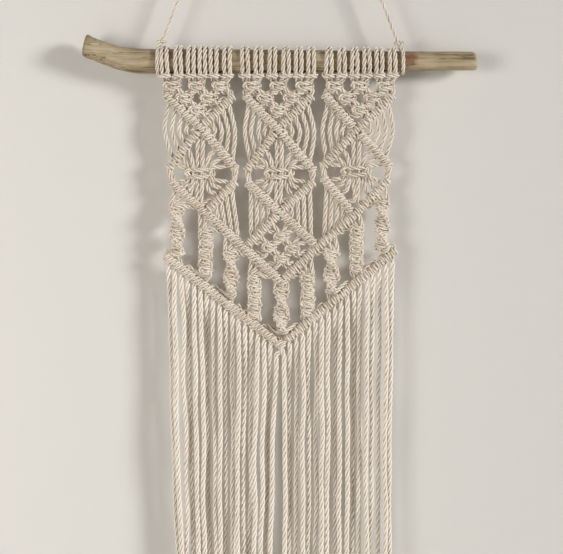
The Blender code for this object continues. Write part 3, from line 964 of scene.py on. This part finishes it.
for number, (line, run, at) in sorted(fringe_lines.items()):
    piece = lay_rope(f"fringe_cord_{number:02d}", line, run, FRINGE_RADIUS, FRINGE_PAINTED_LIGHT_COTTON)
    pivot = Vector((fringe_line(number)[0], 0, at.z))
    bent = pivot - Vector((0, 0, FRINGE_BEND))
    placed(pivot)
    placed(bent)
    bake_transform(piece)
    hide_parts(f"fringe_{number:02d}")
    shown = [placed(point) for point in line[::CORD_EVERY] + line[-1:]]
    round(length_of(line) * MM, 3)

# ------------------------------------------------------------------ hanging cord


def tie_height(side):
    return branch_radius(side * TIE_KNOT_X) + TIE_KNOT_RISE


def nail_point(side, turn):
    """A point of the cord's bend over the nail, turned from the top of the bend to a side."""
    return Vector((
        side * NAIL_BEND * math.sin(turn), 0, NAIL_MIDDLE + NAIL_BEND * math.cos(turn),
    ))


def hanging_path():
    """From the left tie knot up over the nail and down to the right one."""
    made = []
    for side in (-1, 1):
        knot = Vector((side * TIE_KNOT_X, 0, tie_height(side)))
        reach = Vector((side * TIE_KNOT_X, 0, tie_height(side) - NAIL_MIDDLE))
        lean = math.asin(NAIL_BEND / reach.length) + math.atan2(-reach.z, abs(reach.x))
        touch = math.pi / 2 - lean
        leave = nail_point(side, touch)
        leg = [between(knot, leave, i / LEG_POINTS) for i in range(LEG_POINTS + 1)]
        turns = [touch * (1 - i / NAIL_POINTS) for i in range(1, NAIL_POINTS + 1)]
        made.append(leg + [nail_point(side, turn) for turn in turns])
    return made[0] + made[1][-2::-1]


def tie_path(side):
    """The cord's end: once round the branch, once round itself, and a short tail."""
    x = side * TIE_X
    radius = branch_radius(x) + TIE_GAP + HANGER_RADIUS
    knot = Vector((side * TIE_KNOT_X, 0, tie_height(side)))

    def by_knot(place):
        return knot + Vector((side * place[0], place[1], place[2]))

    made = [by_knot(place) for place in TIE_START]
    for degrees in range(*TIE_ARC):
        angle = math.radians(degrees)
        lean = side * TIE_LEAN * math.sin(angle / 2)
        made.append(Vector((x + lean, -radius * math.sin(angle), radius * math.cos(angle))))
    made.append(by_knot(TIE_BEHIND))
    for i in range(TIE_TURN_POINTS + 1):
        angle = 2 * math.pi * i / TIE_TURN_POINTS
        height = TIE_TURN_START + i * TIE_TURN_RISE
        made.append(by_knot((TIE_TURN * math.cos(angle), -TIE_TURN * math.sin(angle), height)))
    return made + [by_knot(place) for place in TIE_TAIL]


route = hanging_path()
hanging = lay_rope(
    "hanging_cord_rope", smooth(route, HANGER_SMOOTH_STEP), 0, HANGER_RADIUS, COTTON
)
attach(hanging, "hanger")
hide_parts("hanging_cord")
shown = [placed(point) for point in route]
round(length_of(route) * MM, 3)
for side, name in ((-1, "left"), (1, "right")):
    tie = lay_rope("hanging_cord_tie_" + name, smooth(tie_path(side)), 0, TIE_RADIUS, COTTON)
    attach(tie, "hanger")
    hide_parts("hanger_tie_" + name)

branch = branch_piece()
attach(branch, "branch")
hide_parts("branch")

# ------------------------------------------------------------------ studio


def plain_finish(name, colour):
    """Matt paint of one colour."""
    made = Finish(name)
    made.set(Base_Color=(*colour, 1), Roughness=0.9, Metallic=0.0)
    return made


def sheet_of(name, corners, finish):
    """A flat face of the studio."""
    data = bpy.data.meshes.new(name)
    data.from_pydata(corners, [], [(0, 1, 2, 3)])
    data.materials.append(finish.material)
    made = bpy.data.objects.new(name, data)
    scene.collection.objects.link(made)
    return made


# the wall is clear from behind, so that the back of the hanging can be seen
wall_finish = plain_finish("wall_paint", (0.655, 0.641, 0.62))
clear = wall_finish.node("BsdfTransparent")
behind = wall_finish.node("NewGeometry", out="Backfacing")
faced = wall_finish.node("MixShader", {0: behind, 2: clear})
wall_finish.tree.links.new(wall_finish.shader.outputs[0], faced.socket.node.inputs[1])
output = wall_finish.tree.nodes["Material Output"]
wall_finish.tree.links.new(faced.socket, output.inputs["Surface"])
wall_corners = [
    (-WALL_HALF, WALL_BACK, -FLOOR_DROP), (WALL_HALF, WALL_BACK, -FLOOR_DROP),
    (WALL_HALF, WALL_BACK, WALL_TOP), (-WALL_HALF, WALL_BACK, WALL_TOP),
]
wall = sheet_of("wall", wall_corners, wall_finish)
wall.visible_shadow = False
floor_corners = [
    (-FLOOR_HALF, -FLOOR_HALF, -FLOOR_DROP), (FLOOR_HALF, -FLOOR_HALF, -FLOOR_DROP),
    (FLOOR_HALF, FLOOR_HALF, -FLOOR_DROP), (-FLOOR_HALF, FLOOR_HALF, -FLOOR_DROP),
]
sheet_of("floor", floor_corners, plain_finish("floor_paint", (0.66, 0.65, 0.62)))

world = bpy.data.worlds.new("studio")
scene.world = world
world.use_nodes = True
glow = world.node_tree.nodes["Background"].inputs
glow["Color"].default_value = (1.0, 0.92, 0.79, 1)
glow["Strength"].default_value = 0.15


def lamp(name, place, aim, size, watts, colour, spread=180):
    """A round lamp at place that points at aim, with its beam's spread in degrees."""
    data = bpy.data.lights.new(name, "AREA")
    data.shape = "DISK"
    data.size = size
    data.energy = watts
    data.color = colour
    data.spread = math.radians(spread)
    made = bpy.data.objects.new(name, data)
    made.location = place
    made.rotation_euler = (Vector(aim) - Vector(place)).to_track_quat("-Z", "Y").to_euler()
    scene.collection.objects.link(made)


CENTRE = (0, 0, -0.5)
lamp("window", (6.0, -3.5, 0.9), CENTRE, 1.8, 79, (1.0, 0.99, 0.975), 80)
lamp("fill", (-1.3, -1.25, -0.5), (-0.1, 0, -0.95), 0.8, 15.5, (1.0, 0.975, 0.94))
lamp("behind", (-2.2, 3.2, 0.9), CENTRE, 2.0, 60, (1.0, 0.98, 0.95))
